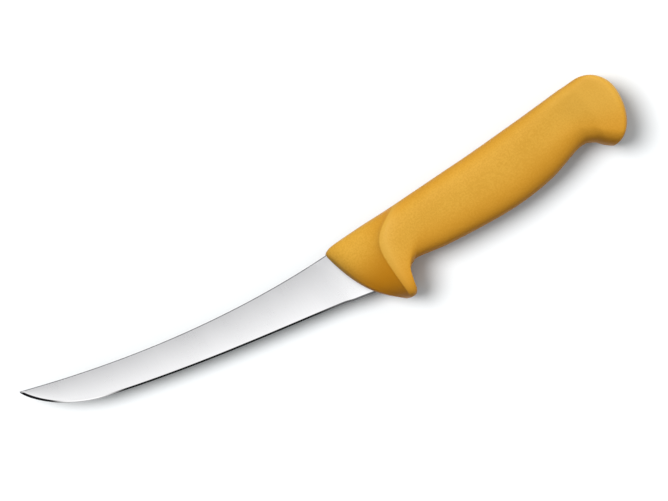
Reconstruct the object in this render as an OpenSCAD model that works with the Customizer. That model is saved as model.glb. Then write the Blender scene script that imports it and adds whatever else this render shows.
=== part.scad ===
// Boning knife with a swept-up curved blade and a moulded butcher's handle.
// It lies on its side: +X runs from the tip to the butt, +Y from the edge to the spine
// and +Z is the knife's thickness. Millimetres.

/* [Blade] */
// Reach of the tip in front of the handle's front corner
blade_reach = 143.5; // [120:0.5:170]
// Height of the tip above the blade's spine at the handle
tip_rise = 25.4; // [8:0.2:34]
// Height of the blade at the handle's front corner
heel_height = 22.9; // [18:0.1:25]
// Height of the blade where it is narrowest, behind the belly
waist_height = 12.7; // [9:0.1:16]
// Length over which the heel narrows towards the waist
taper_length = 49; // [30:1:70]
// Length of the rounded belly behind the tip
belly_length = 29.8; // [16:0.1:40]
// Extra depth of the unground heel below the sharpened edge
heel_step = 0.5; // [0:0.1:1.2]
// Length in front of the handle over which the grind fades in
ricasso_length = 14; // [8:1:24]

/* [Blade thickness] */
// Thickness of the steel strip, at the heel and in the tang
steel_thick = 2.2; // [1.8:0.1:3]
// Thickness that the ground faces leave at the tip's spine
tip_thick = 1.1; // [0.9:0.1:1.6]
// Thickness that the ground faces leave at the foot of the heel
shoulder_thick = 0.8; // [0.7:0.1:1.2]
// Thickness left at the cutting edge
edge_thick = 0.08; // [0.04:0.02:0.16]
// Angle of the sharpened bevel on each side, in degrees
bevel_angle = 15; // [12:1:22]
// Chamfer along the spine's corners
spine_chamfer = 0.5; // [0.2:0.1:0.8]

/* [Tang] */
// Length of the tang behind the blade's shoulder
tang_length = 86; // [60:1:96]
// Height of the tang
tang_height = 12; // [9:0.5:14]
// Depth of the blade's shoulder behind the handle's front corner
shoulder_depth = 16; // [12:1:18]
// Diameter of the anchor holes that the core fills
anchor_hole_d = 6; // [4:0.5:7]
// Number of anchor holes
anchor_count = 3; // [1:1:4]

/* [Handle outline] */
// Length of the handle
handle_length = 144.7; // [135:0.1:165]
// Depth of the guard below the handle's spine line
guard_depth = 37.5; // [34:0.5:42]
// Distance from the front corner back to the guard's lowest point
guard_setback = 22; // [19:0.5:26]
// Height of the grip in the forefinger's groove
groove_height = 24.6; // [22:0.2:27]
// Distance from the front corner back to the forefinger's groove
groove_setback = 33.5; // [31:0.5:38]
// Height of the grip at the palm swell
palm_height = 30.2; // [27:0.2:33]
// Distance from the front corner back to the palm swell
palm_setback = 78; // [70:1:86]
// Height of the grip in the little finger's groove
rear_height = 24.4; // [22:0.2:27]
// Distance from the butt forward to the little finger's groove
rear_inset = 27; // [24:0.5:32]
// Depth of the pommel's beak below the spine line
beak_depth = 32; // [29:0.5:36]
// Distance from the butt forward to the beak's lowest point
beak_inset = 13; // [11:0.5:15]
// Rise of the pommel above the handle's spine line
pommel_flare = 1.6; // [0:0.2:3]
// Depth of the front corner below the handle's spine line
corner_drop = 1.4; // [1:0.1:1.6]

/* [Handle thickness] */
// Thickness at the lip that closes on the blade
lip_thick = 7; // [5.5:0.5:9]
// Thickness over the crest of the thumb ridge
ridge_thick = 23; // [21:0.5:25]
// Thickness of the grip behind the ridge
grip_thick = 20.4; // [19:0.2:22]
// Thickness of the grip at the palm swell
palm_thick = 21.2; // [19:0.2:23]
// Thickness of the grip in the little finger's groove
rear_thick = 20.8; // [18:0.2:22]
// Thickness over the pommel's flat sides
pommel_thick = 23; // [21:0.5:25]
// Width of the rounding round the pommel's flat sides
pommel_rim = 2.6; // [2:0.2:4]
// How far the thumb ridge hooks back at the spine
ridge_hook = 15.5; // [8:0.5:18]

/* [Core] */
// Thickness of the inner core
core_thick = 12; // [10:0.5:14]
// Height of the inner core
core_height = 17; // [15:0.5:18]
// Distance from the front corner back to the core's front end
core_setback = 22; // [20:0.5:26]
// Distance that the core runs on behind the tang
core_overrun = 4; // [2:0.5:6]
// Width of each keying rib round the core
rib_width = 3; // [2:0.5:4]
// Height of each keying rib
rib_height = 1; // [0.5:0.1:1.2]
// Number of keying ribs
rib_count = 5; // [2:1:6]

/* [Hidden] */

// ---- Blade geometry -------------------------------------------------------------------
// Depth of the blade's spine below the handle's spine line, where it enters the handle
spine_drop = corner_drop + 0.07;
// Powers of the spine's sweep and of the belly's rounding
sweep_power = 1.9;
belly_power = 1.34;
// Angle at which the belly stops, just short of a needle point
tip_angle = 84;
belly_steps = 14;
body_steps = 24;
root_steps = 8;
ricasso_steps = 7;
// Speed at which the step at the heel fades along the unground length, and the largest
// share of the blade's height that the softened corner of the spine takes
heel_fade = 2.6;
chamfer_share = 0.125;
// Distance behind the shoulder over which the blade and its stock overlap
stock_lap = shoulder_depth / root_steps;
// Least height of the sharpened bevel, at the very tip
least_bevel = 0.12;

tip_y = tip_rise - spine_drop;
grind_fall = (steel_thick - shoulder_thick) / 2 / heel_height;
grind_taper = ((steel_thick - tip_thick) / 2 + grind_fall * tip_rise) / blade_reach;
bevel_slope = tan(bevel_angle);
belly_start = blade_reach - belly_length;

// Eases from 0 to 1 as s runs from 0 to 1
function ease(s) = let (c = min(1, max(0, s))) c * c * (3 - 2 * c);
function mix(a, b, s) = a + (b - a) * s;

// Spine line at a distance in front of the handle
function spine_y(ahead) = -spine_drop + tip_rise * pow(max(0, ahead) / blade_reach, sweep_power);

// Share of the height left by the belly's rounding
function belly_angle(ahead) = asin(min(1, max(0, ahead - belly_start) / belly_length * sin(tip_angle)));
function belly_share(ahead) = pow(cos(belly_angle(ahead)), belly_power);

function blade_height(ahead) =
    (waist_height + (heel_height - waist_height) * exp(-ahead / taper_length)
        + heel_step * (1 - ease((ahead + heel_step) / ricasso_length * heel_fade))) * belly_share(ahead);
function edge_y(ahead) = spine_y(ahead) - blade_height(ahead);

// Half thickness of the flat ground face, a plane that falls to the edge and to the tip
function face_z(ahead, y) =
    max(edge_thick / 2, steel_thick / 2 + grind_fall * (y + spine_drop) - grind_taper * ahead);

// Half thickness after the sharpened bevel, at a height above the edge
function bevel_z(rise) = edge_thick / 2 + bevel_slope * rise;

// Closed section across the blade, from the spine round the left side to the edge and back
function blade_section(ahead) =
    let (
        ground = ease(ahead / ricasso_length),
        top = spine_y(ahead),
        low = edge_y(ahead),
        height = top - low,
        chamfer = min(spine_chamfer, height * chamfer_share),
        // Height above the edge at which the bevel meets the ground face
        meet = max(0, face_z(ahead, low) - edge_thick / 2) / (bevel_slope - grind_fall),
        bevel = max(least_bevel, min(meet, height - 2 * chamfer)),
        side = mix(steel_thick / 2, min(face_z(ahead, top - chamfer), bevel_z(height)), ground),
        shoulder = mix(steel_thick / 2, min(face_z(ahead, low + bevel), bevel_z(bevel)), ground),
        edge = mix(steel_thick / 2, edge_thick / 2, ground),
        left = [
            [top, side - chamfer / 2 * ground],
            [top - chamfer, side],
            [low + bevel, shoulder],
            [low, edge]
        ]
    )
    concat([[top, 0]], left, [[low, 0]], [for (i = [3:-1:0]) [left[i][0], -left[i][1]]]);

belly_stations = [for (i = [belly_steps:-1:1])
    belly_start + belly_length * sin(tip_angle * i / belly_steps) / sin(tip_angle)];
body_stations = [for (i = [body_steps:-1:1])
    mix(ricasso_length, belly_start, i / body_steps)];
ricasso_stations = [for (i = [ricasso_steps:-1:0]) ricasso_length * i / ricasso_steps];
blade_stations = concat(belly_stations, body_stations, ricasso_stations, [-stock_lap]);

// ---- Tang geometry --------------------------------------------------------------------
tang_top = -(groove_height - tang_height) / 2;
tang_end = shoulder_depth + tang_length;
tang_corner = tang_height / 4;
// The anchor holes share the tang's length inside the core evenly
anchor_pitch = (tang_end - core_setback) / (anchor_count + 1);

// ---- Core geometry --------------------------------------------------------------------
core_end = tang_end + core_overrun;
core_y = tang_top - tang_height / 2;
core_round = core_height / 2;
rib_pitch = (core_end - core_setback - 2 * core_round) / (rib_count - 1);

// ---- Handle geometry ------------------------------------------------------------------
// Half thickness of the whole knife, and the height of its middle plane above its rest
rest_half = max(ridge_thick, pommel_thick, palm_thick, grip_thick) / 2;
// Crown of a section above its stated thickness, where its side is cut off flat: none
// along the grip, and more and more towards the butt
round_side = 1;
groove_crown = 1.02;
neck_crown = 1.03;
pommel_crown = 1.05;
butt_crown = 1.08;
rear_x = handle_length - rear_inset;
beak_x = handle_length - beak_inset;
// Level of the butt's rearmost point
butt_y = -12;
// Wall behind the guard, from its lowest point to the forefinger's groove
guard_run = groove_setback - guard_setback;
guard_drop = guard_depth - groove_height;
// Half thicknesses of the skin
lip = lip_thick / 2;
ridge = ridge_thick / 2;
grip = grip_thick / 2;
palm = palm_thick / 2;
rear = rear_thick / 2;
pommel = pommel_thick / 2;
// Half thickness over the crest of the ridge, in its upper part and in its lower part
crest_top = 0.93 * ridge;
crest_low = 0.985 * ridge;
// Distance from the front corner back to the crest's upper end
crest_x = 36;
// Ends of the lip and of the crest at the guard
foot = [guard_setback - 3, 0.7 - guard_depth];
toe = [guard_setback - 1.2, 0.1 - guard_depth];
// Places of the sections on the wedge, from the lip at 0 to the crest at 1
wedge_places = [0.028, 0.08, 0.16, 0.26, 0.4, 0.6, 0.8, 0.93];
// The wedge's upper part thickens at once by this share, over this reach, and then late
shelf_share = 0.64;
shelf_reach = 0.085;
shelf_power = 5.5;
// The wedge's lower part thickens evenly
wedge_power = 0.66;
// Rounding of the front corner up to the brow over the wedge
brow = 0.6;
brow_reach = 1.8;
// Height of the spine along the grip
spine_rise = 0.2;
// Roundness of the front lip and of the pommel's rim, as shares of the half thickness
lip_edge = 0.7;
rim_mid = 0.86;
rim_edge = 0.5;
// Squareness of the sections above and below their middle: 2 is an ellipse, and a
// higher number is flatter at the sides
grip_square = [3, 3];
guard_square = [3, 4];
wall_square = [3, 4.4];
forefinger_square = [3, 3.5];
waist_square = [4, 2.7];
groove_square = [5, 3];
neck_square = [5.4, 3.8];
pommel_square = [5.7, 4];
butt_square = [6, 6];
section_steps = 20;
loft_steps = 4;

// Each station crosses the handle from the spine line to the belly line:
// [spine point, belly point, half thicknesses above and below, squarenesses above and
// below, crown, lip share, hook share, butt share]
function station(spine, belly, halves, squares, crown, shares) =
    concat([spine, belly], halves, squares, crown, shares);

function wedge_station(w) =
    let (
        x = crest_x * w,
        y = mix(brow, spine_rise, ease(2 * w - 1)) - (corner_drop + brow) * exp(-x / brow_reach),
        top = mix(pow(w, shelf_power), 1 - exp(-w / shelf_reach), shelf_share)
    )
    station([x, y], mix(foot, toe, w),
        [mix(lip, crest_top, top), mix(lip, crest_low, pow(w, wedge_power))],
        mix(grip_square, guard_square, w), round_side, [1 - w, w, 0]);

stations = concat(
    [station([0, -corner_drop], foot, [lip_edge * lip, lip_edge * lip], grip_square, round_side,
        [1, 0, 0])],
    [for (w = wedge_places) wedge_station(w)],
    [
        station([crest_x, spine_rise], toe, [crest_top, crest_low], guard_square, round_side,
            [0, 1, 0]),
        station([38.5, spine_rise], [guard_setback, -guard_depth], [0.955 * ridge, ridge],
            guard_square, round_side, [0, 1, 0]),
        station([41, spine_rise], [guard_setback + 1.5, 0.2 - guard_depth],
            [0.94 * ridge, 0.97 * ridge], guard_square, round_side, [0, 1, 0]),
        station([44.5, spine_rise],
            [guard_setback + guard_run * 0.27, guard_drop * 0.17 - guard_depth],
            [mix(ridge, grip, 0.8), mix(ridge, grip, 0.77)], wall_square, round_side, [0, 0.8, 0]),
        station([48.5, spine_rise],
            [guard_setback + guard_run * 0.28, guard_drop * 0.52 - guard_depth],
            [mix(ridge, grip, 0.97), mix(ridge, grip, 0.97)],
            mix(wall_square, forefinger_square, 0.2), round_side, [0, 0.45, 0]),
        station([52, spine_rise],
            [guard_setback + guard_run * 0.483, guard_drop * 0.82 - guard_depth],
            [grip, grip], mix(wall_square, forefinger_square, 0.9), round_side, [0, 0.2, 0]),
        station([55, spine_rise],
            [guard_setback + guard_run * 0.72, guard_drop * 0.962 - guard_depth],
            [grip, grip], forefinger_square, round_side, [0, 0.1, 0]),
        station([58, spine_rise], [groove_setback, -groove_height], [grip, grip],
            forefinger_square, round_side, [0, 0.04, 0]),
        station([65, spine_rise],
            [mix(groove_setback, palm_setback, 0.35), -mix(groove_height, palm_height, 0.52)],
            [mix(grip, palm, 0.5), mix(grip, palm, 0.5)],
            mix(forefinger_square, grip_square, 0.4), round_side, [0, 0, 0]),
        station([palm_setback, spine_rise], [palm_setback, -palm_height], [palm, palm],
            grip_square, round_side, [0, 0, 0]),
        station([mix(palm_setback, rear_x, 0.6), pommel_flare * 0.35 + spine_rise],
            [mix(palm_setback, rear_x, 0.55), -mix(palm_height, rear_height, 0.22)],
            [mix(palm, pommel, 0.22), mix(palm, rear, 0.7)], waist_square, round_side,
            [0, 0, 0]),
        station([rear_x, pommel_flare * 0.7 + spine_rise], [rear_x, -rear_height],
            [mix(palm, pommel, 0.5), 0.98 * rear], groove_square, groove_crown, [0, 0, 0]),
        station([mix(rear_x, beak_x, 0.42), pommel_flare * 0.85 + spine_rise],
            [mix(rear_x, beak_x, 0.45), -mix(rear_height, beak_depth, 0.18)],
            [mix(palm, pommel, 0.8), mix(rear, pommel, 0.5)], neck_square, neck_crown,
            [0, 0, 0.16]),
        station([mix(rear_x, beak_x, 0.7), pommel_flare * 0.95],
            [mix(rear_x, beak_x, 0.7), -mix(rear_height, beak_depth, 0.64)],
            [pommel, pommel], pommel_square, pommel_crown, [0, 0, 0.25]),
        station([beak_x - 1, pommel_flare], [beak_x - 1.4, 0.3 - beak_depth],
            [pommel, pommel], butt_square, butt_crown, [0, 0, 1 - pommel_rim / beak_inset]),
        station([beak_x - 0.3, pommel_flare], [beak_x - 0.4, -beak_depth],
            [rim_mid * pommel, rim_mid * pommel], butt_square, butt_crown,
            [0, 0, 1 - 0.3 * pommel_rim / beak_inset]),
        station([beak_x, pommel_flare], [beak_x, -beak_depth],
            [rim_edge * pommel, rim_edge * pommel], butt_square, butt_crown, [0, 0, 1])
    ]
);

// Smooth curve through four neighbouring values, between the middle two
function curve(a, b, c, d, s) =
    (2 * b + (c - a) * s + (2 * a - 5 * b + 4 * c - d) * s * s
        + (3 * b - a - 3 * c + d) * s * s * s) / 2;

// Smooth curve from b to c that never passes either of them
function slope(a, b, c) = (b - a) * (c - b) > 0 ? 2 * (b - a) * (c - b) / (c - a) : 0;
function steady(a, b, c, d, s) =
    let (m = slope(a, b, c), n = slope(b, c, d))
    b + s * (m + s * (3 * (c - b) - 2 * m - n + s * (2 * (b - c) + m + n)));

// Station at any place along the list: its points run on smooth curves, and its other
// values never pass those of the stations next to it
function station_at(place) =
    let (
        last = len(stations) - 1,
        i = min(last - 1, floor(place)),
        four = [stations[max(0, i - 1)], stations[i], stations[i + 1], stations[min(last, i + 2)]]
    )
    [for (k = [0:len(stations[0]) - 1])
        k < 2 ? curve(four[0][k], four[1][k], four[2][k], four[3][k], place - i)
            : steady(four[0][k], four[1][k], four[2][k], four[3][k], place - i)];

// Front lip as it bows out from the straight line between its ends
lip_top = [4.2, -23.5];
lip_low = [-6.9, 6.6];
function lip_bow(s) =
    let (
        a = stations[0][0],
        d = stations[0][1],
        b = a + lip_top,
        c = d + lip_low
    )
    pow(1 - s, 3) * a + 3 * pow(1 - s, 2) * s * b + 3 * (1 - s) * s * s * c + pow(s, 3) * d
        - mix(a, d, s);

// The ridge's hook dies away below the spine
hook_reach = 0.155;
hook_power = 1.3;
function hook_bow(s) = [ridge_hook * (exp(-pow(s / hook_reach, hook_power)) - (1 - s)), 0];

// The butt is two quarter ellipses that meet at its rearmost point
function butt_bow(angle) =
    let (
        s = (1 - cos(angle)) / 2,
        chord_y = mix(pommel_flare, -beak_depth, s),
        arc = cos(angle),
        y = butt_y + (arc > 0 ? pommel_flare - butt_y : beak_depth + butt_y) * arc
    )
    [beak_inset * sin(angle), y - chord_y];

// Half height of the section at an angle round it, 0 at the spine and 180 at the belly
function side_share(angle, square) = pow(max(0, 1 - pow(abs(cos(angle)), square)), 1 / square);

// The thickness passes from the upper half's to the lower half's a little past the middle
blend_end = 0.55;
function skin_point(st, angle, side) =
    let (
        s = (1 - cos(angle)) / 2,
        at = mix(st[0], st[1], s) + st[7] * lip_bow(s) + st[8] * hook_bow(s)
            + st[9] * butt_bow(angle),
        half = mix(st[2], st[3], ease(s / blend_end)),
        square = s < 0.5 ? st[4] : st[5]
    )
    [at[0], at[1], side * half * min(1, st[6] * side_share(angle, square))];

function skin_ring(st) = concat(
    [for (j = [0:section_steps]) skin_point(st, 180 * j / section_steps, 1)],
    [for (j = [section_steps - 1:-1:1]) skin_point(st, 180 * j / section_steps, -1)]
);

// Closed solid through rings of equal length. A flat end is closed by a fan, and a bowed
// one by a strip that joins each point of the ring's upper half to the one below it.
module loft(rings, flat_ends) {
    n = len(rings[0]);
    last = len(rings) - 1;
    points = [for (ring = rings) each ring];
    walls = [for (i = [0:last - 1], j = [0:n - 1])
        let (a = i * n + j, b = i * n + (j + 1) % n)
        each [[a, b + n, b], [a, a + n, b + n]]];
    function fan(base) = [for (j = [1:n - 2]) [base, base + j, base + j + 1]];
    function strip(base) = [for (j = [0:n / 2 - 1])
        let (up = base + j, down = base + (n - j) % n, down_next = base + n - j - 1)
        each [
            if (down != up) [up, down_next, down],
            if (down_next != up + 1) [up, up + 1, down_next]
        ]];
    function turned(faces) = [for (f = faces) [f[0], f[2], f[1]]];
    function end(base) = flat_ends ? fan(base) : strip(base);
    polyhedron(points, concat(walls, end(0), turned(end(last * n))), convexity = 6);
}

// Everything is drawn with the handle's front corner at zero, then placed with the
// middle of the whole knife over the origin and its lowest side at z = 0
module placed() {
    translate([(blade_reach - handle_length) / 2, (guard_depth - tip_y) / 2, rest_half])
        children();
}

// Heel and tang as they are stamped from the strip
module stock_outline() {
    root = [for (i = [0:root_steps]) [i * shoulder_depth / root_steps,
        edge_y(-i * shoulder_depth / root_steps)]];
    difference() {
        union() {
            polygon(concat([[shoulder_depth, -spine_drop], [0, -spine_drop]], root));
            translate([shoulder_depth - stock_lap, tang_top - tang_height])
                square([tang_length + stock_lap - tang_corner, tang_height]);
            translate([tang_end - 2 * tang_corner, tang_top - tang_height + tang_corner])
                square([2 * tang_corner, tang_height - 2 * tang_corner]);
            for (y = [tang_top - tang_corner, tang_top - tang_height + tang_corner])
                translate([tang_end - tang_corner, y]) circle(r = tang_corner, $fn = 32);
        }
        for (i = [1:anchor_count])
            translate([core_setback + i * anchor_pitch, core_y])
                circle(d = anchor_hole_d, $fn = 48);
    }
}

module stock() {
    translate([0, 0, -steel_thick / 2]) linear_extrude(steel_thick) stock_outline();
}

module ground_blade() {
    loft([for (ahead = blade_stations)
        [for (p = blade_section(ahead)) [-ahead, p[0], p[1]]]], true);
}

module blade() {
    color("gainsboro") placed() {
        ground_blade();
        stock();
    }
}

// Rounded bar with keying ribs, which fills the handle's thick middle
module core_body() {
    translate([core_setback + core_round, core_y, -core_thick / 2]) {
        linear_extrude(core_thick) {
            circle(r = core_round, $fn = 64);
            translate([0, -core_round])
                square([core_end - core_setback - 2 * core_round, core_height]);
            translate([core_end - core_setback - 2 * core_round, 0])
                circle(r = core_round, $fn = 64);
        }
        for (i = [0:rib_count - 1])
            translate([i * rib_pitch - rib_width / 2, rib_height - core_round, -rib_height])
                cube([rib_width, core_height - 2 * rib_height, core_thick + 2 * rib_height]);
    }
}

module handle_core() {
    color("tan") placed() difference() {
        core_body();
        stock();
    }
}

module handle_skin() {
    color("goldenrod") placed() difference() {
        loft([for (i = [0:(len(stations) - 1) * loft_steps])
            skin_ring(station_at(i / loft_steps))], false);
        core_body();
        stock();
    }
}

blade();
handle_core();
handle_skin();
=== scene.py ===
import math

import bmesh
import bpy
from bpy.props import FloatProperty, FloatVectorProperty, IntProperty, PointerProperty
from mathutils import Matrix, Vector


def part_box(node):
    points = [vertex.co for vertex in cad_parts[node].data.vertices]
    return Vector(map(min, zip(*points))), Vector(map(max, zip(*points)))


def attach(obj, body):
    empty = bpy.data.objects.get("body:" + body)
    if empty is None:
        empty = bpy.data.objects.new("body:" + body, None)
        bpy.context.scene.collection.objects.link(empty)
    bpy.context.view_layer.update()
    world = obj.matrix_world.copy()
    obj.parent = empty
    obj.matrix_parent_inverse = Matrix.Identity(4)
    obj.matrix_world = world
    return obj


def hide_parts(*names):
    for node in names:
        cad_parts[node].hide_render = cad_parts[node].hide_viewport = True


bl_info = {
    "name": "Boning knife",
    "version": (1, 0, 0),
    "blender": (4, 5, 0),
    "location": "View3D > Sidebar > Knife",
    "description": "Curved boning knife with a moulded handle, on a pale table",
    "category": "Add Mesh",
}

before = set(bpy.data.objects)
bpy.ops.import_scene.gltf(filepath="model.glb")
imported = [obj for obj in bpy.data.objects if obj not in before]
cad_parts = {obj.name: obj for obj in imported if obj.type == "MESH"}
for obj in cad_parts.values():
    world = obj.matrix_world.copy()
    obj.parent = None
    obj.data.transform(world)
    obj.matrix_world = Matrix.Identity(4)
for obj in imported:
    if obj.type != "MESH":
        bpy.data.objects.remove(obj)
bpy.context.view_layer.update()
skin_low, skin_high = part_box("handle_skin")
blade_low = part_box("blade")[0]

# Spine from the tip to the handle's front corner, and the guard's depth below the spine line
BLADE_REACH = 0.1435
GUARD_DEPTH = 0.0375

# The handle's front corner, on the knife's middle plane: every shape is drawn from here
CORNER = Vector((
    blade_low.x + BLADE_REACH,
    skin_low.y + GUARD_DEPTH,
    (skin_low.z + skin_high.z) / 2,
))


# ---- Settings -------------------------------------------------------------------------------

def length(name, description, default, low, high):
    """A size in metres, shown in the scene's own units."""
    return FloatProperty(name=name, description=description, default=default, min=low, max=high,
                         precision=4, subtype="DISTANCE", unit="LENGTH")


def share(name, description, default):
    """A share from none to all."""
    return FloatProperty(name=name, description=description, default=default, min=0, max=1,
                         subtype="FACTOR")


def colour(name, description, default):
    """A linear colour."""
    return FloatVectorProperty(name=name, description=description, default=default, min=0, max=1,
                               size=3, subtype="COLOR")


class BladeSettings(bpy.types.PropertyGroup):
    """Sizes and finish of the blade and its tang"""
    tip_rise: length("Tip rise", "Height of the tip above the spine at the handle",
                     0.0254, 0.008, 0.034)
    heel_height: length("Heel height", "Height of the blade at the handle", 0.0229, 0.018, 0.025)
    waist_height: length("Waist height", "Height of the blade at its narrowest",
                         0.0127, 0.009, 0.016)
    taper_length: length("Taper", "Length over which the heel narrows to the waist",
                         0.049, 0.03, 0.07)
    belly_length: length("Belly", "Length of the rounded belly behind the tip", 0.0298, 0.016, 0.04)
    heel_step: length("Heel step", "Extra depth of the unground heel", 0.0005, 0, 0.0012)
    ricasso: length("Ricasso", "Length over which the grind fades in", 0.014, 0.008, 0.024)
    steel: length("Steel", "Thickness of the strip", 0.0022, 0.0018, 0.003)
    tip_steel: length("Tip steel", "Thickness left at the tip's spine", 0.0011, 0.0009, 0.0016)
    foot_steel: length("Foot steel", "Thickness left at the foot of the heel",
                       0.0008, 0.0007, 0.0012)
    edge_steel: length("Edge steel", "Thickness left at the cutting edge",
                       0.00008, 0.00004, 0.00016)
    chamfer: length("Spine chamfer", "Chamfer along the spine's corners", 0.0005, 0.0002, 0.0008)
    bevel_angle: FloatProperty(name="Bevel angle", description="Sharpened bevel on each side",
                               default=math.radians(15), min=math.radians(12),
                               max=math.radians(22), subtype="ANGLE", unit="ROTATION")
    shoulder: length("Shoulder", "Depth of the shoulder inside the handle", 0.016, 0.012, 0.018)
    tang_length: length("Tang length", "Length of the tang behind the shoulder", 0.086, 0.06, 0.096)
    tang_height: length("Tang height", "Height of the tang", 0.012, 0.009, 0.014)
    hole: length("Anchor hole", "Diameter of the anchor holes", 0.006, 0.004, 0.007)
    holes: IntProperty(name="Anchor holes", description="Number of anchor holes", default=3,
                       min=1, max=4)
    bevel_width: length("Bevel width", "Width of the sharpened bevel", 0.0009, 0.0003, 0.0012)
    # Painted reflection: the spine side and edge side colours paint a reflection that is darker at
    # the spine and brighter at the edge
    painted_spine_reflection: colour("Spine side", "Steel colour of the faces along the spine",
                         (0.54, 0.54, 0.55))
    painted_edge_reflection: colour("Edge side", "Steel colour of the faces along the edge",
                        (0.86, 0.86, 0.87))
    # Painted reflection: the spine's chamfers are painted dark in place of a dark reflection
    painted_chamfer_reflection: colour("Chamfer", "Steel colour of the spine's chamfers",
                        (0.16, 0.16, 0.165))
    # Painted reflection: the sharpened bevel is painted nearly black in place of a dark reflection
    painted_bevel_reflection: colour("Bevel", "Steel colour of the sharpened bevel",
                         (0.012, 0.012, 0.013))
    # Painted highlight: a white glint is painted on the bevel where the belly turns
    painted_glint_colour: colour("Glint", "Steel colour of the bevel where the belly turns",
                         (1.0, 1.0, 1.0))
    roughness: share("Roughness", "Roughness of the ground faces", 0.3)


class HandleSettings(bpy.types.PropertyGroup):
    """Sizes and finish of the handle's outer moulding"""
    span: length("Length", "Length of the handle", 0.1447, 0.135, 0.165)
    guard_setback: length("Guard setback", "Front corner to the guard's lowest point",
                          0.022, 0.019, 0.026)
    groove_height: length("Groove height", "Height in the forefinger's groove",
                          0.0246, 0.022, 0.027)
    groove_setback: length("Groove setback", "Front corner to the forefinger's groove",
                           0.0335, 0.031, 0.038)
    palm_height: length("Palm height", "Height at the palm swell", 0.0302, 0.027, 0.033)
    palm_setback: length("Palm setback", "Front corner to the palm swell", 0.078, 0.07, 0.086)
    rear_height: length("Rear height", "Height in the little finger's groove", 0.0244, 0.022, 0.027)
    rear_inset: length("Rear inset", "Butt to the little finger's groove", 0.027, 0.024, 0.032)
    beak_depth: length("Beak depth", "Depth of the pommel's beak", 0.032, 0.029, 0.036)
    beak_inset: length("Beak inset", "Butt to the beak's lowest point", 0.013, 0.011, 0.015)
    flare: length("Pommel flare", "Rise of the pommel above the spine line", 0.0016, 0, 0.003)
    corner_drop: length("Corner drop", "Depth of the front corner below the spine line",
                        0.0014, 0.001, 0.0016)
    lip: length("Lip", "Thickness at the lip on the blade", 0.007, 0.0055, 0.009)
    ridge: length("Ridge", "Thickness over the thumb ridge", 0.023, 0.021, 0.025)
    grip: length("Grip", "Thickness of the grip behind the ridge", 0.0204, 0.019, 0.022)
    palm: length("Palm", "Thickness at the palm swell", 0.0212, 0.019, 0.023)
    rear: length("Rear", "Thickness in the little finger's groove", 0.0208, 0.018, 0.022)
    pommel: length("Pommel", "Thickness over the pommel's flat sides", 0.023, 0.021, 0.025)
    rim: length("Pommel rim", "Width of the rounding round the flat sides", 0.0026, 0.002, 0.004)
    hook: length("Ridge hook", "How far the ridge hooks back at the spine", 0.0155, 0.008, 0.018)
    around: IntProperty(name="Around", description="Facets round the handle", default=96,
                        min=24, max=160)
    pitch: length("Pitch", "Distance between rings along the handle", 0.0013, 0.0008, 0.004)
    body_colour: colour("Polyamide", "Colour of the moulding", (0.67, 0.343, 0.035))
    worn_colour: colour("Rubbed polyamide", "Colour where the skin is rubbed",
                        (0.737, 0.399, 0.049))
    # Painted light: this lighter colour paints a highlight on the ridge's crest and lightens the
    # pommel towards the spine
    painted_highlight_colour: colour("Crest", "Colour where the hand rubs the ridge and the pommel",
                         (0.745, 0.425, 0.068))
    # Painted shade: this deeper colour is painted where shade falls, on the wedge's lower part,
    # along the belly and the spine, and before the ridge's hook
    painted_shade_colour: colour("Wedge", "Deeper colour of the smooth wedge", (0.61, 0.243, 0.008))
    roughness: share("Roughness", "Roughness of the satin skin", 0.5)
    grain: length("Grain", "Size of the non-slip grain", 0.0007, 0.0002, 0.002)


class CoreSettings(bpy.types.PropertyGroup):
    """Finish of the handle's hidden core"""
    body_colour: colour("Core", "Colour of the core's polyamide", (0.62, 0.50, 0.30))
    roughness: share("Roughness", "Roughness of the core", 0.6)


class StageSettings(bpy.types.PropertyGroup):
    """Table, lamps and camera"""
    table_size: length("Table", "Side of the table top", 6.0, 1, 20)
    table_colour: colour("Table colour", "Colour of the table top", (0.956, 0.964, 0.97))
    table_glow: colour("Table glow", "Colour that the table lends the knife", (0.2, 0.16, 0.11))
    distance: length("Camera distance", "Camera's height over the knife's middle plane",
                     1.2, 0.5, 3)
    view_width: length("View width", "Width that the camera sees at that plane", 0.2906, 0.1, 1)
    turn: FloatProperty(name="Turn", description="How far the knife is turned in the view",
                        default=math.radians(34), subtype="ANGLE", unit="ROTATION")
    sky: FloatProperty(name="Sky", description="Strength of the room's soft light",
                       default=0.3, min=0, max=2)
    lamp: FloatProperty(name="Lamp", description="Share of light from the lamp over the knife",
                        default=0.7, min=0, max=2)
    table_lamp: FloatProperty(name="Table lamp",
                              description="Share of light on the table from its lamp",
                              default=0.72, min=0, max=2)
    fill: FloatProperty(name="Fill", description="Share of light on the table from the wide fill",
                        default=0.12, min=0, max=1)
    fill_colour: colour("Fill colour", "Colour of the wide fill over the table", (0.7, 0.9, 1.0))


# ---- Shader arithmetic ----------------------------------------------------------------------

class Socket:
    """A node's output that takes part in Python arithmetic by adding Math nodes."""

    def __init__(self, nodes, output):
        self.nodes = nodes
        self.output = output

    def math(self, operation, *values, clamp=False):
        settings = {"operation": operation, "use_clamp": clamp}
        return self.nodes.add("ShaderNodeMath", settings, dict(enumerate(values)))

    def __add__(self, other):
        return self.math("ADD", self, other)

    def __sub__(self, other):
        return self.math("SUBTRACT", self, other)

    def __rsub__(self, other):
        return self.math("SUBTRACT", other, self)

    def __mul__(self, other):
        return self.math("MULTIPLY", self, other)

    __radd__ = __add__
    __rmul__ = __mul__

    def limited(self):
        return self.math("ADD", self, 0, clamp=True)


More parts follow.
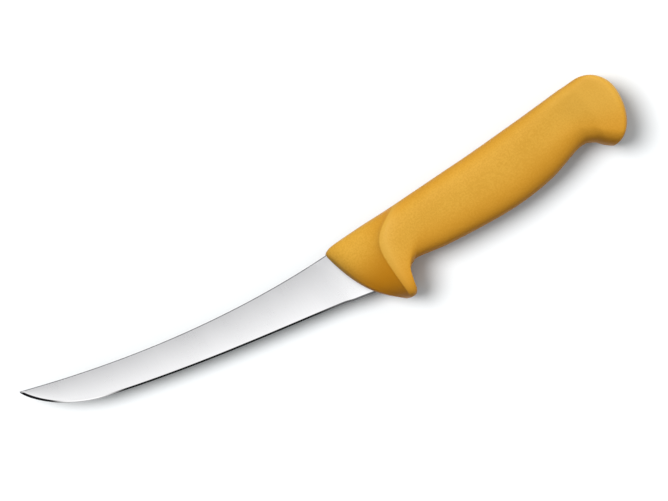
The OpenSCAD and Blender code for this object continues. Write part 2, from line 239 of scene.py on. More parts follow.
class Nodes:
    """The node tree of a material or a world."""

    def __init__(self, owner):
        owner.use_nodes = True
        self.tree = owner.node_tree
        self.tree.nodes.clear()

    def add(self, kind, settings=None, inputs=None, output=0):
        """Adds a node, sets it up, feeds its sockets, and gives back one of its outputs, if any."""
        node = self.tree.nodes.new(kind)
        for name, value in (settings or {}).items():
            setattr(node, name, value)
        for key, value in (inputs or {}).items():
            if isinstance(value, Socket):
                self.tree.links.new(value.output, node.inputs[key])
            else:
                node.inputs[key].default_value = value
        return None if output is None else Socket(self, node.outputs[output])

    def between(self, value, start, end):
        """Eases from 0 to 1 as the value goes from start to end."""
        return self.add("ShaderNodeMapRange", {"interpolation_type": "SMOOTHSTEP"},
                        {0: value, 1: start, 2: end})

    def mix(self, factor, first, second):
        """Mixes two colours."""
        pair = [c if isinstance(c, Socket) else (*c, 1) for c in (first, second)]
        return self.add("ShaderNodeMix", {"data_type": "RGBA"},
                        {0: factor, 6: pair[0], 7: pair[1]}, output=2)

    def noise(self, vector, scale, detail=2.0, roughness=0.5):
        return self.add("ShaderNodeTexNoise", {"noise_dimensions": "3D"},
                        {"Vector": vector, "Scale": scale, "Detail": detail,
                         "Roughness": roughness})

    def object_place(self, stretch=(1, 1, 1)):
        """Object coordinates, stretched."""
        place = self.add("ShaderNodeTexCoord", output=3)
        return self.add("ShaderNodeMapping", {}, {0: place, 3: stretch})

    def bump(self, height, strength, distance):
        return self.add("ShaderNodeBump", {}, {"Strength": strength, "Distance": distance,
                                               "Height": height})

    def surface(self, shader):
        self.add("ShaderNodeOutputMaterial", {}, {"Surface": shader}, output=None)


def new_material(name):
    material = bpy.data.materials.new(name)
    return material, Nodes(material)


# ---- Shape arithmetic -----------------------------------------------------------------------

def mix(a, b, s):
    return a + (b - a) * s


def ease(s):
    """Eases from 0 to 1 as s runs from 0 to 1."""
    s = min(1, max(0, s))
    return s * s * (3 - 2 * s)


def through(a, b, c, d, s):
    """Smooth curve through four points, between the middle two."""
    return (b * 2 + (c - a) * s + (a * 2 - b * 5 + c * 4 - d) * s * s
            + (b * 3 - a - c * 3 + d) * s * s * s) / 2


def steady(a, b, c, d, s):
    """Smooth curve from b to c that never passes either of them."""
    def slope(before, here, after):
        rise, fall = here - before, after - here
        return 2 * rise * fall / (rise + fall) if rise * fall > 0 else 0
    m, n = slope(a, b, c), slope(b, c, d)
    return b + s * (m + s * (3 * (c - b) - 2 * m - n + s * (2 * (b - c) + m + n)))


def finish_piece(bm, name, material, sharp):
    """Turns a bmesh into a smooth-shaded piece that keeps edges over that many degrees crisp."""
    mesh = bpy.data.meshes.new(name)
    bm.to_mesh(mesh)
    bm.free()
    mesh.materials.append(material)
    mesh.shade_smooth()
    mesh.set_sharp_from_angle(angle=math.radians(sharp))
    piece = bpy.data.objects.new(name, mesh)
    bpy.context.scene.collection.objects.link(piece)
    return piece


# ---- Blade ----------------------------------------------------------------------------------

# Powers of the spine's sweep and of the belly's rounding, and the angle where the belly ends
SWEEP_POWER = 1.9
BELLY_POWER = 1.34
TIP_ANGLE = math.radians(84)
# Depth of the blade's spine below the handle's front corner
SPINE_GAP = 0.00007
# How fast the step at the heel fades, and the chamfer's largest share of the height
HEEL_FADE = 2.6
CHAMFER_SHARE = 0.125
# Least width of the bevel, and how much and how fast it widens towards the tip
LEAST_BEVEL = 0.00012
BEVEL_SPREAD = 0.5
SPREAD_RATE = 2.2
# Step over which the belly's slant is measured
SLIGHT = 0.0001
# Rows of faces between the chamfer and the bevel, and what is left in front of the shoulder
FACE_ROWS = 8
ROOT_GAP = 0.001
# Steps from one cross-section to the next along the belly, the body, the heel and the root
BELLY_STEPS, BODY_STEPS, HEEL_STEPS, ROOT_STEPS = 30, 46, 14, 8
# Facets of the tang's corners and of its holes
CORNER_FACETS = 8
HOLE_FACETS = 40


class BladeShape:
    """Where the blade's faces run, as distances ahead of the handle and heights, in metres."""

    def __init__(self, b, h):
        self.b = b
        self.drop = h.corner_drop + SPINE_GAP
        self.fall = (b.steel - b.foot_steel) / 2 / b.heel_height
        self.taper = ((b.steel - b.tip_steel) / 2 + self.fall * b.tip_rise) / BLADE_REACH
        self.bevel_slope = math.tan(b.bevel_angle)
        self.belly_start = BLADE_REACH - b.belly_length

    def spine(self, ahead):
        return -self.drop + self.b.tip_rise * (max(0, ahead) / BLADE_REACH) ** SWEEP_POWER

    def height(self, ahead):
        b = self.b
        reach = min(1, max(0, ahead - self.belly_start) / b.belly_length * math.sin(TIP_ANGLE))
        belly = math.cos(math.asin(reach)) ** BELLY_POWER
        step = b.heel_step * (1 - ease((ahead + b.heel_step) / b.ricasso * HEEL_FADE))
        body = mix(b.waist_height, b.heel_height, math.exp(-ahead / b.taper_length))
        return (body + step) * belly

    def face(self, ahead, y):
        """Half thickness of the flat ground face."""
        return max(self.b.edge_steel / 2,
                   self.b.steel / 2 + self.fall * (y + self.drop) - self.taper * ahead)

    def rows(self, ahead):
        """(height, half thickness, band) from the back to the edge. The band runs from -1 over the
        chamfer to 0, over the ground face to 1, and over the bevel to 2."""
        b = self.b
        ground = ease(ahead / b.ricasso)
        top = self.spine(ahead)
        tall = self.height(ahead)
        low = top - tall
        chamfer = min(b.chamfer, tall * CHAMFER_SHARE)
        # The bevel keeps its width where the belly slants, and widens towards the tip
        slant = (low - self.spine(ahead - SLIGHT) + self.height(ahead - SLIGHT)) / SLIGHT
        left = (BLADE_REACH - ahead) / b.belly_length
        width = (b.bevel_width * math.hypot(1, slant)
                 * (1 + BEVEL_SPREAD * ease(1 - SPREAD_RATE * left)))
        bevel = max(LEAST_BEVEL, min(width, tall - 2 * chamfer))
        limit = b.edge_steel / 2 + self.bevel_slope * tall
        side = mix(b.steel / 2, min(self.face(ahead, top - chamfer), limit), ground)
        foot = mix(b.steel / 2, min(self.face(ahead, low + bevel),
                                    b.edge_steel / 2 + self.bevel_slope * bevel), ground)
        edge = mix(b.steel / 2, b.edge_steel / 2, ground)
        found = [(top, side - chamfer / 2 * ground, -1)]
        for k in range(FACE_ROWS + 1):
            s = k / FACE_ROWS
            found.append((mix(top - chamfer, low + bevel, s), mix(side, foot, s), s))
        found.append((low, edge, 2))
        return found

    def stations(self):
        """Distances ahead of the handle's front corner, from the tip to the shoulder."""
        b = self.b
        belly = [self.belly_start + b.belly_length * math.sin(TIP_ANGLE * i / BELLY_STEPS)
                 / math.sin(TIP_ANGLE) for i in range(BELLY_STEPS, 0, -1)]
        body = [mix(b.ricasso, self.belly_start, i / BODY_STEPS) for i in range(BODY_STEPS, 0, -1)]
        heel = [b.ricasso * i / HEEL_STEPS for i in range(HEEL_STEPS, -1, -1)]
        root = [-(b.shoulder - ROOT_GAP) * i / ROOT_STEPS for i in range(1, ROOT_STEPS + 1)]
        return belly + body + heel + root


def blade_sheet(bm, shape):
    """One side of the ground blade: a grid bent to the faces. Gives back its rearmost edges."""
    stations = shape.stations()
    rows = [shape.rows(ahead) for ahead in stations]
    across = len(rows[0]) - 1
    along = len(stations) - 1
    made = bmesh.ops.create_grid(bm, x_segments=along, y_segments=across, size=0.5, calc_uvs=False)
    uv = bm.loops.layers.uv.new("grind")
    spot = {}
    for v in made["verts"]:
        i, j = round((v.co.x + 0.5) * along), round((0.5 - v.co.y) * across)
        y, z, s = rows[i][j]
        v.co = Vector((-stations[i], y, z))
        spot[v] = (i, j, s)
    for f in bm.faces:
        for loop in f.loops:
            i, j, s = spot[loop.vert]
            loop[uv].uv = (stations[i], s)
    return [e for e in bm.edges if all(spot[v][0] == along for v in e.verts)]


def build_blade(b, h):
    """Blade, shoulder and tang as one closed solid."""
    shape = BladeShape(b, h)
    bm = bmesh.new()
    rear = blade_sheet(bm, shape)
    z = b.steel / 2
    tang_top = -(h.groove_height - b.tang_height) / 2
    tang_low = tang_top - b.tang_height
    end = b.shoulder + b.tang_length
    corner = b.tang_height / 4
    # Outline of the stamped shoulder and tang, from the spine round to the edge
    outline = [(b.shoulder, -shape.drop), (b.shoulder, tang_top)]
    for centre, start in ((tang_top - corner, 0), (tang_low + corner, 90)):
        for k in range(CORNER_FACETS + 1):
            a = math.radians(start + 90 * k / CORNER_FACETS)
            outline.append((end - corner + corner * math.sin(a), centre + corner * math.cos(a)))
    outline += [(b.shoulder, tang_low), (b.shoulder, -shape.drop - shape.height(-b.shoulder))]
    ends = sorted({v for e in rear for v in e.verts}, key=lambda v: v.co.y)
    chain = [ends[-1]] + [bm.verts.new((x, y, z)) for x, y in outline] + [ends[0]]
    bounds = rear + [bm.edges.new(pair) for pair in zip(chain, chain[1:])]
    # The core starts over the guard, and the holes are evenly spaced along it
    pitch = (end - h.guard_setback) / (b.holes + 1)
    for k in range(1, b.holes + 1):
        place = Vector((h.guard_setback + k * pitch, (tang_top + tang_low) / 2, z))
        ring = bmesh.ops.create_circle(bm, cap_ends=False, segments=HOLE_FACETS,
                                       radius=b.hole / 2, matrix=Matrix.Translation(place))
        bounds += list({e for v in ring["verts"] for e in v.link_edges})
    bmesh.ops.triangle_fill(bm, use_beauty=True, use_dissolve=False, edges=bounds)
    # The second side is the first one pushed through the steel, which leaves the rim as a wall
    both = bmesh.ops.extrude_face_region(bm, geom=list(bm.faces), use_keep_orig=True)
    for v in both["geom"]:
        if isinstance(v, bmesh.types.BMVert):
            v.co.z = -v.co.z
    bmesh.ops.recalc_face_normals(bm, faces=bm.faces)
    bmesh.ops.translate(bm, verts=bm.verts, vec=CORNER)
    return finish_piece(bm, "steel_blade", steel_material(b), 9)


def steel_material(b):
    """Ground and polished stainless steel with painted reflections: darker at the spine and
    brighter towards the edge, nearly black on the honed bevel and the spine's chamfers, and a
    painted glint where the belly curves up.
    """
    material, n = new_material("polished_steel")
    grind = n.add("ShaderNodeUVMap", {"uv_map": "grind"})
    ahead = n.add("ShaderNodeSeparateXYZ", {}, {0: grind}, output=0)
    band = n.add("ShaderNodeSeparateXYZ", {}, {0: grind}, output=1)
    streaks = n.noise(n.add("ShaderNodeMapping", {}, {0: grind, 3: (2600, 3.0, 1)}), 1.0,
                      detail=3.0, roughness=0.6)
    clouds = n.noise(n.object_place(stretch=(1, 0.35, 1)), 90.0)
    # Painted reflection: the tone runs from dark at the spine to bright at the edge, broken by
    # random clouds
    tone = n.mix((band + (clouds - 0.5) * 0.12).limited(), b.painted_spine_reflection, b.painted_edge_reflection)
    dull = [c * 0.9 for c in b.painted_spine_reflection]
    tone = n.mix(((streaks - 0.5) * 0.3 + (clouds - 0.5) * 0.2 + 0.05).limited(), tone, dull)
    # Painted reflection: the honed bevel is painted nearly black as a dark reflection, a little
    # lighter at the heel and where the belly curves up, with a painted glint there
    belly = BLADE_REACH - b.belly_length
    heel = n.between(ahead, 0.006, 0.02) * 0.12 + 0.88
    turn = (n.between(ahead, belly - 0.010, belly + 0.004)
            * n.between(ahead, belly + 0.021, belly + 0.014))
    bevel = n.between(band, 1.0, 1.15) * heel * (1 - turn * 0.55)
    tone = n.mix(bevel, tone, b.painted_bevel_reflection)
    # Painted highlight: the glint is painted white on the bevel where the belly curves up
    glint = n.between(band, 1.0, 1.1) * n.between(band, 1.65, 1.5) * turn
    tone = n.mix(glint, tone, b.painted_glint_colour)
    # Painted reflection: a dark line is painted along the spine's chamfers
    chamfer = n.between(band, -0.1, -0.25) * n.between(band, -1.0, -0.9)
    tone = n.mix(chamfer, tone, b.painted_chamfer_reflection)
    rough = b.roughness + (streaks - 0.5) * 0.16 + (clouds - 0.5) * 0.08
    shader = n.add("ShaderNodeBsdfPrincipled", {}, {
        "Base Color": tone, "Metallic": 1.0, "Roughness": rough,
        "Normal": n.bump(streaks, 0.04, 0.00002)})
    n.surface(shader)
    return material


# ---- Handle ---------------------------------------------------------------------------------

# Places of the sections on the wedge, from the lip at 0 to the crest of the ridge at 1
WEDGE = (0.028, 0.08, 0.16, 0.26, 0.4, 0.6, 0.8, 0.93)
# The wedge's upper part gains this share of its thickness at once, and the rest late
WEDGE_SHELF = 0.64
WEDGE_REACH = 0.085
SHELF_POWER = 5.5
# How the wedge's lower part thickens
WEDGE_POWER = 0.66
# Ends of the lip and of the crest on the belly line, from the guard's lowest point
FOOT = Vector((-0.003, 0.0007))
TOE = Vector((-0.0012, 0.0001))
# Front corner to the crest's upper end, and the crest's shares of the ridge's thickness there
CREST_X = 0.036
CREST_SHARES = (0.93, 0.985)
# Height and reach of the brow over the front corner, and the height of the spine behind it
BROW = 0.0006
BROW_REACH = 0.0018
SPINE_RISE = 0.0002
# How far the lip bows out at its upper and at its lower end
LIP_TOP = Vector((0.0042, -0.0235))
LIP_LOW = Vector((-0.0069, 0.0066))
# How fast the ridge's hook dies away below the spine
HOOK_REACH = 0.155
HOOK_POWER = 1.3
# Level of the butt's rearmost point
BUTT_Y = -0.012
# Share of the height over which the upper half's thickness turns into the lower half's
BLEND_SHARE = 0.55


class Station:
    """One section across the handle, from the spine line to the belly line."""

    def __init__(self, spine, belly, halves, squares=(3, 3), crown=1, lip=0, hook=0, butt=0):
        self.points = [Vector(spine), Vector(belly)]
        self.values = [*halves, *squares, crown, lip, hook, butt]


class HandleShape:
    """Where the handle's skin runs, in metres from the front corner."""

    def __init__(self, h):
        self.h = h
        self.rear_x = h.span - h.rear_inset
        self.beak_x = h.span - h.beak_inset
        self.stations = self.make_stations()

    def make_stations(self):
        h = self.h
        lip, ridge, grip = h.lip / 2, h.ridge / 2, h.grip / 2
        palm, rear, pommel = h.palm / 2, h.rear / 2, h.pommel / 2
        guard, drop = h.groove_setback - h.guard_setback, GUARD_DEPTH - h.groove_height
        g, low = h.guard_setback, -GUARD_DEPTH
        foot, toe = Vector((g, low)) + FOOT, Vector((g, low)) + TOE
        crest = [ridge * part for part in CREST_SHARES]
        found = [Station((0, -h.corner_drop), foot, (0.7 * lip, 0.7 * lip), lip=1)]
        for w in WEDGE:
            x = CREST_X * w
            y = (mix(BROW, SPINE_RISE, ease(2 * w - 1))
                 - (h.corner_drop + BROW) * math.exp(-x / BROW_REACH))
            top = mix(w ** SHELF_POWER, 1 - math.exp(-w / WEDGE_REACH), WEDGE_SHELF)
            found.append(Station((x, y), mix(foot, toe, w),
                                 (mix(lip, crest[0], top), mix(lip, crest[1], w ** WEDGE_POWER)),
                                 squares=(3, 3 + w), lip=1 - w, hook=w))
        found += [
            Station((CREST_X, SPINE_RISE), toe, crest, squares=(3, 4), hook=1),
            Station((0.0385, SPINE_RISE), (g, low), (ridge * 0.955, ridge), squares=(3, 4), hook=1),
            Station((0.041, SPINE_RISE), (g + 0.0015, low + 0.0002), (ridge * 0.94, ridge * 0.97),
                    squares=(3, 4), hook=1),
            Station((0.0445, SPINE_RISE), (g + guard * 0.27, drop * 0.17 + low),
                    (mix(ridge, grip, 0.8), mix(ridge, grip, 0.77)), squares=(3, 4.4), hook=0.8),
            Station((0.0485, SPINE_RISE), (g + guard * 0.28, drop * 0.52 + low),
                    (mix(ridge, grip, 0.97), mix(ridge, grip, 0.97)), squares=(3, 4.2), hook=0.45),
            Station((0.052, SPINE_RISE), (g + guard * 0.483, drop * 0.82 + low), (grip, grip),
                    squares=(3, 3.6), hook=0.2),
            Station((0.055, SPINE_RISE), (g + guard * 0.72, drop * 0.962 + low), (grip, grip),
                    squares=(3, 3.5), hook=0.1),
            Station((0.058, SPINE_RISE), (h.groove_setback, -h.groove_height), (grip, grip),
                    squares=(3, 3.5), hook=0.04),
            Station((0.065, SPINE_RISE), (mix(h.groove_setback, h.palm_setback, 0.35),
                                          -mix(h.groove_height, h.palm_height, 0.52)),
                    (mix(grip, palm, 0.5), mix(grip, palm, 0.5)), squares=(3, 3.3)),
            Station((h.palm_setback, SPINE_RISE), (h.palm_setback, -h.palm_height), (palm, palm)),
            Station((mix(h.palm_setback, self.rear_x, 0.6), h.flare * 0.35 + SPINE_RISE),
                    (mix(h.palm_setback, self.rear_x, 0.55),
                     -mix(h.palm_height, h.rear_height, 0.22)),
                    (mix(palm, pommel, 0.22), mix(palm, rear, 0.7)), squares=(4, 2.7)),
            Station((self.rear_x, h.flare * 0.7 + SPINE_RISE), (self.rear_x, -h.rear_height),
                    (mix(palm, pommel, 0.5), rear * 0.98), squares=(5, 3), crown=1.02),
            Station((mix(self.rear_x, self.beak_x, 0.42), h.flare * 0.85 + SPINE_RISE),
                    (mix(self.rear_x, self.beak_x, 0.45), -mix(h.rear_height, h.beak_depth, 0.18)),
                    (mix(palm, pommel, 0.8), mix(rear, pommel, 0.5)), squares=(5.4, 3.8),
                    crown=1.03, butt=0.16),
            Station((mix(self.rear_x, self.beak_x, 0.7), h.flare * 0.95),
                    (mix(self.rear_x, self.beak_x, 0.7), -mix(h.rear_height, h.beak_depth, 0.64)),
                    (pommel, pommel), squares=(5.7, 4), crown=1.05, butt=0.25),
            Station((self.beak_x - 0.001, h.flare), (self.beak_x - 0.0014, 0.0003 - h.beak_depth),
                    (pommel, pommel), squares=(6, 6), crown=1.08, butt=1 - h.rim / h.beak_inset),
            Station((self.beak_x - 0.0003, h.flare), (self.beak_x - 0.0004, -h.beak_depth),
                    (0.86 * pommel, 0.86 * pommel), squares=(6, 6), crown=1.08,
                    butt=1 - 0.3 * h.rim / h.beak_inset),
            Station((self.beak_x, h.flare), (self.beak_x, -h.beak_depth),
                    (0.5 * pommel, 0.5 * pommel), squares=(6, 6), crown=1.08, butt=1),
        ]
        return found

    def at(self, place):
        """Station at any place along the list."""
        last = len(self.stations) - 1
        i = min(last - 1, int(place))
        four = [self.stations[min(last, max(0, i + k))] for k in (-1, 0, 1, 2)]
        s = place - i
        made = Station((0, 0), (0, 0), (0, 0))
        made.points = [through(*(st.points[k] for st in four), s) for k in (0, 1)]
        made.values = [steady(*(st.values[k] for st in four), s) for k in range(len(made.values))]
        return made

    def lip_bow(self, s):
        """The front lip as it bows out from the straight line between its ends."""
        a, d = self.stations[0].points
        b, c = a + LIP_TOP, d + LIP_LOW
        t = 1 - s
        return a * t ** 3 + b * (3 * t * t * s) + c * (3 * t * s * s) + d * s ** 3 - mix(a, d, s)

    def hook_bow(self, s):
        """The ridge's hook, which dies away below the spine."""
        return Vector((self.h.hook * (math.exp(-(s / HOOK_REACH) ** HOOK_POWER) - (1 - s)), 0))

    def butt_bow(self, angle):
        """The butt as two quarter ellipses that meet at its rearmost point."""
        h = self.h
        s = (1 - math.cos(angle)) / 2
        arc = math.cos(angle)
        y = BUTT_Y + (h.flare - BUTT_Y if arc > 0 else h.beak_depth + BUTT_Y) * arc
        return Vector((h.beak_inset * math.sin(angle), y - mix(h.flare, -h.beak_depth, s)))

    def point(self, st, angle):
        """Place on the left side of a section, at an angle from its spine to its belly."""
        top, low, top_square, low_square, crown, lip, hook, butt = st.values
        s = (1 - math.cos(angle)) / 2
        at = (mix(*st.points, s) + lip * self.lip_bow(s) + hook * self.hook_bow(s)
              + butt * self.butt_bow(angle))
        square = top_square if s < 0.5 else low_square
        rounding = max(0, 1 - abs(math.cos(angle)) ** square) ** (1 / square)
        thick = mix(top, low, ease(s / BLEND_SHARE))
        return Vector((at.x, at.y, thick * min(1, crown * rounding)))

    def half_ring(self, st, count):
        """Evenly spaced places along the left side of a section, spine and belly included."""
        fine = 6 * count
        points = [self.point(st, math.pi * k / fine) for k in range(fine + 1)]
        run = [0]
        for a, b in zip(points, points[1:]):
            run.append(run[-1] + (b - a).length)
        ring, k = [], 0
        for j in range(count + 1):
            goal = run[-1] * j / count
            while k < fine - 1 and run[k + 1] < goal:
                k += 1
            step = max(1e-12, run[k + 1] - run[k])
            ring.append(mix(points[k], points[k + 1], (goal - run[k]) / step))
        return ring

    def places(self, pitch):
        """Places of the rings: close enough together everywhere, and closer round the rims."""
        found = []
        for i in range(len(self.stations) - 1):
            a, b = self.stations[i], self.stations[i + 1]
            gap = max((q - p).length for p, q in zip(a.points, b.points))
            steps = max(3, math.ceil(gap / pitch))
            found += [i + k / steps for k in range(steps)]
        return found + [len(self.stations) - 1]


def build_handle(h):
    """Outer moulding: a tube whose rings are bent to the sections and pinched shut at the ends."""
    shape = HandleShape(h)
    places = shape.places(h.pitch)
    rings = [shape.half_ring(shape.at(place), h.around // 2) for place in places]
    # The lip and the butt close on the knife's middle plane
    rings = [[Vector((p.x, p.y, 0)) for p in rings[0]], *rings,
             [Vector((p.x, p.y, 0)) for p in rings[-1]]]
    places = [places[0], *places, places[-1]]
    along = len(rings) - 1
    bm = bmesh.new()
    bmesh.ops.create_cone(bm, cap_ends=False, segments=h.around, radius1=1, radius2=1, depth=1)
    walls = [e for e in bm.edges if abs(e.verts[0].co.z - e.verts[1].co.z) > 0.5]
    bmesh.ops.subdivide_edges(bm, edges=walls, cuts=along - 1, use_grid_fill=True)
    uv = bm.loops.layers.uv.new("skin")
    crest = len(WEDGE) + 1
    spot = {}
    for v in bm.verts:
        turn = math.atan2(v.co.x, v.co.y)
        i, part = round((v.co.z + 0.5) * along), abs(turn) / math.pi
        p = rings[i][round(part * (h.around // 2))]
        v.co = Vector((p.x, p.y, math.copysign(p.z, turn)))
        spot[v] = (places[i] / crest, part)
    for f in bm.faces:
        for loop in f.loops:
            loop[uv].uv = spot[loop.vert]
    bmesh.ops.remove_doubles(bm, verts=bm.verts, dist=1e-6)
    bmesh.ops.recalc_face_normals(bm, faces=bm.faces)
    bmesh.ops.translate(bm, verts=bm.verts, vec=CORNER)
    return finish_piece(bm, "grip_moulding", grip_material(h), 60)


def grip_material(h):
    """Satin moulded polyamide with a fine non-slip grain, smoother on the wedge, with painted shade
    and a painted highlight.
    """
    material, n = new_material("grained_polyamide")
    place = n.object_place()
    skin = n.add("ShaderNodeUVMap", {"uv_map": "skin"})
    along = n.add("ShaderNodeSeparateXYZ", {}, {0: skin}, output=0)
    around = n.add("ShaderNodeSeparateXYZ", {}, {0: skin}, output=1)
    grain = n.noise(place, 1 / h.grain, detail=2.0, roughness=0.55)
    cloud = n.noise(place, 55.0, detail=3.0)
    # Painted shade: the skin is painted deeper on the wedge's lower part, along the belly and the
    # spine, and in the hollow before the ridge's hook, where shade falls
    wedge = n.between(along, 1.0, 0.93)
    belly = n.between(around, 0.45, 0.85) * 0.62
    hollow = (n.between(along, 0.6, 0.92) * n.between(along, 1.03, 0.98)
              * n.between(around, 0.38, 0.14) * 0.55)
    spine = n.between(along, 1.0, 1.2) * n.between(around, 0.3, 0.12) * 0.35
    lower = mix(belly, n.between(around, 0.2, 0.65), wedge)
    painted_shade = (lower + hollow + spine).limited()
    tone = n.mix(((cloud - 0.5) * 1.2 + (grain - 0.5) * 4.0 + 0.5).limited(),
                 h.body_colour, h.worn_colour)
    # Painted light: the crest of the ridge carries a painted highlight, and the pommel towards the
    # spine is painted a little lighter
    rubbed = (n.between(along, 0.96, 1.03) * n.between(along, 1.36, 1.12) * 0.65
              + n.between(along, 2.05, 2.35) * n.between(around, 0.75, 0.4) * 0.45)
    tone = n.mix(rubbed, tone, h.painted_highlight_colour)
    tone = n.mix(painted_shade, tone, n.mix(cloud, h.painted_shade_colour, [c * 1.1 for c in h.painted_shade_colour]))
    rough = h.roughness + (cloud - 0.5) * 0.12 + (grain - 0.5) * 0.1 - wedge * 0.12
    shader = n.add("ShaderNodeBsdfPrincipled", {}, {
        "Base Color": tone, "Roughness": rough, "IOR": 1.53,
        "Specular IOR Level": 0.1, "Normal": n.bump(grain * (1 - wedge * 0.7), 0.8, 0.0001)})
    n.surface(shader)
    return material


# ---- Core -----------------------------------------------------------------------------------

def core_material(c):
    """Natural polyamide with the flow marks of its moulding."""
    material, n = new_material("core_polyamide")
    flow = n.noise(n.object_place(stretch=(0.3, 1, 1)), 160.0, detail=4.0)
    speck = n.noise(n.object_place(), 1400.0, detail=1.0)
    light = tuple(min(1, v * 1.12) for v in c.body_colour)
    shader = n.add("ShaderNodeBsdfPrincipled", {}, {
        "Base Color": n.mix(flow, tuple(c.body_colour), light),
        "Roughness": c.roughness + (speck - 0.5) * 0.1,
        "Normal": n.bump(speck, 0.2, 0.00004)})
    n.surface(shader)
    return material


# ---- Stage ----------------------------------------------------------------------------------

# Azimuth, elevation and width of each lamp, in degrees
KNIFE_LAMP = (47, 54, 28)
TABLE_LAMP = (135, 60, 30)
TABLE_FILL = (0, 90, 110)
# Side from which the room is lighter, in degrees, and how much lighter
SKY_SIDE = (50, 20)
SKY_LEAN = 0.3
# Middle of the view, from the handle's front corner
VIEW_CENTRE = Vector((0.00433, -0.00174, 0))


def sees_white(n):
    """1 for rays that the camera sees, or sees in a mirror or through glass."""
    camera, glossy, clear, scattered = [
        n.add("ShaderNodeLightPath", output=name)
        for name in ("Is Camera Ray", "Is Glossy Ray", "Is Transmission Ray", "Diffuse Depth")]
    return (camera + glossy + clear - scattered).limited()


def build_table(st):
    """Plain pale table top, which shows white and keeps the knife's shadow."""
    bm = bmesh.new()
    bmesh.ops.create_grid(bm, x_segments=8, y_segments=8, size=st.table_size / 2)
    material, n = new_material("white_table")
    tint = n.mix(sees_white(n), st.table_glow, st.table_colour)
    shader = n.add("ShaderNodeBsdfDiffuse", {}, {"Color": tint})
    n.surface(shader)
    table = finish_piece(bm, "table_top", material, 30)
    return table


def towards(azimuth, elevation):
    """Direction to a lamp. Azimuth turns from the knife's +X towards its +Y."""
    around, up = math.radians(azimuth), math.radians(elevation)
    return Vector((math.cos(around) * math.cos(up), math.sin(around) * math.cos(up), math.sin(up)))


def build_lamp(name, place, level, lit, tint=(1, 1, 1)):
    """Distant soft lamp that gives a level table that share of its light."""
    azimuth, elevation, width = place
    lamp = bpy.data.lights.new(name, "SUN")
    lamp.color = tint
    lamp.energy = level * math.pi / math.sin(math.radians(elevation))
    lamp.angle = math.radians(width)
    item = bpy.data.objects.new(name, lamp)
    item.rotation_euler = towards(azimuth, elevation).to_track_quat("Z", "Y").to_euler()
    bpy.context.scene.collection.objects.link(item)
    group = bpy.data.collections.new(name + "_lights")
    for piece in lit:
        group.objects.link(piece)
    item.light_linking.receiver_collection = group


def build_sky(st):
    """Soft room light, white where it is seen."""
    world = bpy.data.worlds.new("soft_room")
    bpy.context.scene.world = world
    n = Nodes(world)
    way = n.add("ShaderNodeTexCoord", output="Generated")
    lean = n.add("ShaderNodeVectorMath", {"operation": "DOT_PRODUCT"},
                 {0: way, 1: towards(*SKY_SIDE)}, output="Value")
    level = (lean * SKY_LEAN + 1) * st.sky
    white = sees_white(n)
    glow = n.add("ShaderNodeBackground", {}, {
        "Color": (1, 1, 1, 1), "Strength": white + (1 - white) * level})
    n.add("ShaderNodeOutputWorld", {}, {"Surface": glow}, output=None)


def build_camera(st):
    """Camera that looks straight down on the knife."""
    data = bpy.data.cameras.new("overhead")
    data.sensor_width = 36
    data.lens = data.sensor_width * st.distance / st.view_width
    data.clip_end = 100
    camera = bpy.data.objects.new("overhead", data)
    camera.location = CORNER + VIEW_CENTRE + Vector((0, 0, st.distance))
    camera.rotation_euler = (0, 0, -st.turn)
    bpy.context.scene.collection.objects.link(camera)
    bpy.context.scene.camera = camera


# ---- Operators ------------------------------------------------------------------------------

class KNIFE_OT_blade(bpy.types.Operator):
    """Build the blade with its tang"""
    bl_idname = "knife.blade"
    bl_label = "Blade"

    def execute(self, context):
        blade = build_blade(context.scene.knife_blade, context.scene.knife_handle)
        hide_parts("blade")
        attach(blade, "root")
        return {"FINISHED"}


class KNIFE_OT_handle(bpy.types.Operator):
    """Build the handle's outer moulding"""
    bl_idname = "knife.handle"
    bl_label = "Handle"

    def execute(self, context):
        grip = build_handle(context.scene.knife_handle)
        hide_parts("handle_skin")
        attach(grip, "root")
        return {"FINISHED"}


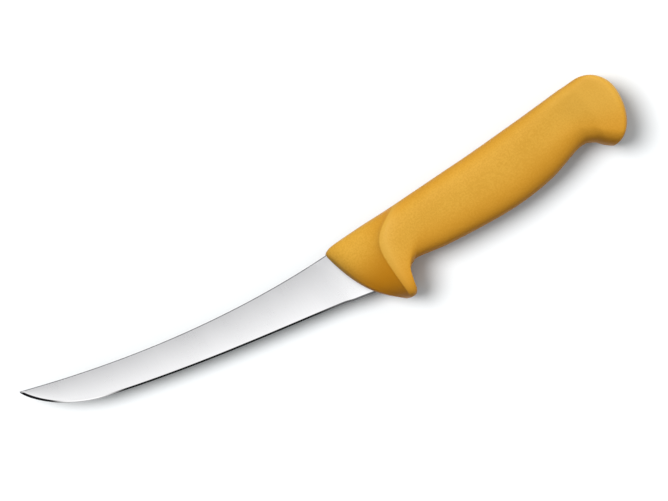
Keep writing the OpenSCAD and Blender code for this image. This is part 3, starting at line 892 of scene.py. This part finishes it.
class KNIFE_OT_core(bpy.types.Operator):
    """Give the handle's core its finish"""
    bl_idname = "knife.core"
    bl_label = "Core"

    def execute(self, context):
        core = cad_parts["handle_core"]
        finish = core_material(context.scene.knife_core)
        for place in range(len(core.material_slots)):
            core.material_slots[place].material = finish
        return {"FINISHED"}


class KNIFE_OT_stage(bpy.types.Operator):
    """Set the table, the lamps and the camera"""
    bl_idname = "knife.stage"
    bl_label = "Stage"

    def execute(self, context):
        st = context.scene.knife_stage
        table = build_table(st)
        parts = [o for o in context.scene.objects if o.type == "MESH" and o != table]
        build_lamp("knife_lamp", KNIFE_LAMP, st.lamp, parts)
        build_lamp("table_lamp", TABLE_LAMP, st.table_lamp, [table])
        build_lamp("table_fill", TABLE_FILL, st.fill, [table], st.fill_colour)
        build_sky(st)
        build_camera(st)
        context.scene.view_settings.view_transform = "Standard"
        return {"FINISHED"}


class KNIFE_PT_panel(bpy.types.Panel):
    """Settings and steps of the knife"""
    bl_idname = "KNIFE_PT_panel"
    bl_label = "Boning knife"
    bl_space_type = "VIEW_3D"
    bl_region_type = "UI"
    bl_category = "Knife"

    def draw(self, context):
        for operator, settings in STEPS:
            box = self.layout.box()
            box.operator(operator.bl_idname)
            group = getattr(context.scene, settings)
            for name in group.__annotations__:
                box.prop(group, name)


STEPS = (
    (KNIFE_OT_blade, "knife_blade"),
    (KNIFE_OT_handle, "knife_handle"),
    (KNIFE_OT_core, "knife_core"),
    (KNIFE_OT_stage, "knife_stage"),
)
GROUPS = {
    "knife_blade": BladeSettings,
    "knife_handle": HandleSettings,
    "knife_core": CoreSettings,
    "knife_stage": StageSettings,
}


def register():
    for cls in (*GROUPS.values(), *(operator for operator, settings in STEPS), KNIFE_PT_panel):
        bpy.utils.register_class(cls)
    for name, cls in GROUPS.items():
        setattr(bpy.types.Scene, name, PointerProperty(type=cls))


def unregister():
    for name in GROUPS:
        delattr(bpy.types.Scene, name)
    for cls in (KNIFE_PT_panel, *(operator for operator, settings in STEPS), *GROUPS.values()):
        bpy.utils.unregister_class(cls)


def main():
    register()
    bpy.ops.knife.blade()
    bpy.ops.knife.handle()
    bpy.ops.knife.core()
    bpy.ops.knife.stage()


if __name__ == "__main__":
    main()
